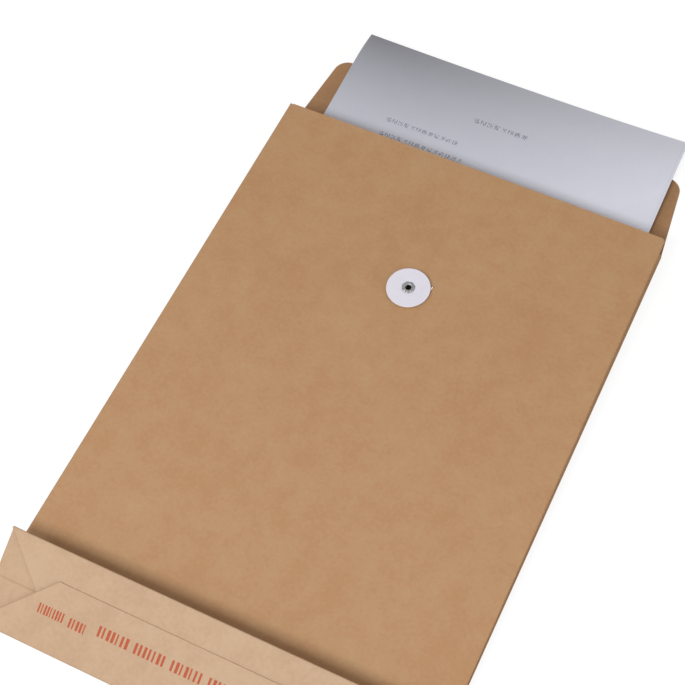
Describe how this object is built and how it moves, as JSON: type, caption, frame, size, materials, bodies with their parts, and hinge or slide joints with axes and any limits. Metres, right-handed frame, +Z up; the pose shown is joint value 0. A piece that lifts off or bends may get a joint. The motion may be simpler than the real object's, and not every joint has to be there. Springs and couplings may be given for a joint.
{
  "type": "document envelope",
  "caption": "Gusseted kraft document envelope with a folded block bottom, a wrap-over flap and a button-and-string closure, lying open with sheets of paper in its mouth",
  "frame": {"origin": "the middle of the back panel's underside, on the table", "axes": "+X across the envelope to its right, +Y along it from the bottom crease to the mouth and flap, +Z up from the back panel to the front panel"},
  "size_m": [0.24, 0.4335, 0.0247],
  "materials": {
    "kraft_outside": "matte kraft paper, outer side",
    "kraft_inside": "matte kraft paper, inner side",
    "kraft_bottom": "matte kraft paper, folded bottom",
    "sheet_paper": "plain white office paper",
    "button_card": "pressed white fibre card",
    "eyelet_metal": "nickel-plated, crimped",
    "cotton_string": "thin twisted cotton"
  },
  "bodies": {
    "back": {"back_panel": "kraft_inside", "side_seam_lap": "kraft_inside", "gusset_left_lower": "kraft_outside", "gusset_left_upper": "kraft_outside", "gusset_left_corner": "kraft_outside", "gusset_right_lower": "kraft_outside", "gusset_right_upper": "kraft_outside", "gusset_right_corner": "kraft_outside"},
    "bottom": {"bottom_outer_flap": "kraft_bottom", "bottom_inner_flap": "kraft_bottom", "bottom_left_tuck": "kraft_bottom", "bottom_right_tuck": "kraft_bottom"},
    "foot": {"front_foot": "kraft_outside"},
    "front": {"front_panel": "kraft_outside", "front_backing_patch": "kraft_inside", "front_eyelet": "eyelet_metal", "closure_string": "cotton_string"},
    "front_button_body": {"front_button": "button_card"},
    "spine": {"flap_spine": "kraft_inside"},
    "flap": {"closure_flap": "kraft_inside", "flap_eyelet": "eyelet_metal"},
    "flap_button_body": {"flap_button": "button_card"},
    "documents": {"document_sheet_1": "sheet_paper", "document_sheet_2": "sheet_paper", "document_sheet_3": "sheet_paper", "document_sheet_4": "sheet_paper"}
  },
  "joints": [
    {"name": "front_lower", "type": "hinge", "parent": "back", "child": "front", "pos_m": [0, -0.34221, 0.01789], "axis": [1, 0, 0], "range_deg": [-1.29, 0], "deforming": ["gusset_left_lower", "gusset_left_upper", "gusset_left_corner", "gusset_right_lower", "gusset_right_upper", "gusset_right_corner"]},
    {"name": "foot_fold", "type": "hinge", "parent": "front", "child": "foot", "pos_m": [0, -0.14977, 0.00738], "axis": [1, 0, 0], "range_deg": [-29, 0]},
    {"name": "bottom_fold", "type": "hinge", "parent": "back", "child": "bottom", "pos_m": [0, -0.175, 0.0004], "axis": [1, 0, 0], "range_deg": [-20.2, 0]},
    {"name": "front_button_spin", "type": "hinge", "parent": "front", "child": "front_button_body", "pos_m": [0, 0.08546, 0.01592], "axis": [0, -0.0363, 0.9993], "continuous": true},
    {"name": "flap_close", "type": "hinge", "parent": "back", "child": "spine", "pos_m": [0, 0.175, 0.0004], "axis": [1, 0, 0], "range_deg": [0, 85.9], "deforming": ["document_sheet_1", "document_sheet_2", "document_sheet_3", "document_sheet_4"]},
    {"name": "flap_wrap", "type": "hinge", "parent": "spine", "child": "flap", "pos_m": [0, 0.19495, 0.00183], "axis": [1, 0, 0], "range_deg": [0, 115]},
    {"name": "flap_button_spin", "type": "hinge", "parent": "flap", "child": "flap_button_body", "pos_m": [0, 0.21191, 0.00304], "axis": [0, -0.0714, 0.9974], "continuous": true},
    {"name": "documents_slide", "type": "slide", "parent": "back", "child": "documents", "axis": [0, 0.9999, 0.0109], "range_m": [-0.083, 0.222]}
  ],
  "couplings": [
    {"joint": "foot_fold", "follows": "front_lower", "ratio": 20.123},
    {"joint": "bottom_fold", "follows": "front_lower", "ratio": 13.986},
    {"joint": "flap_wrap", "follows": "flap_close", "ratio": 1.072}
  ]
}
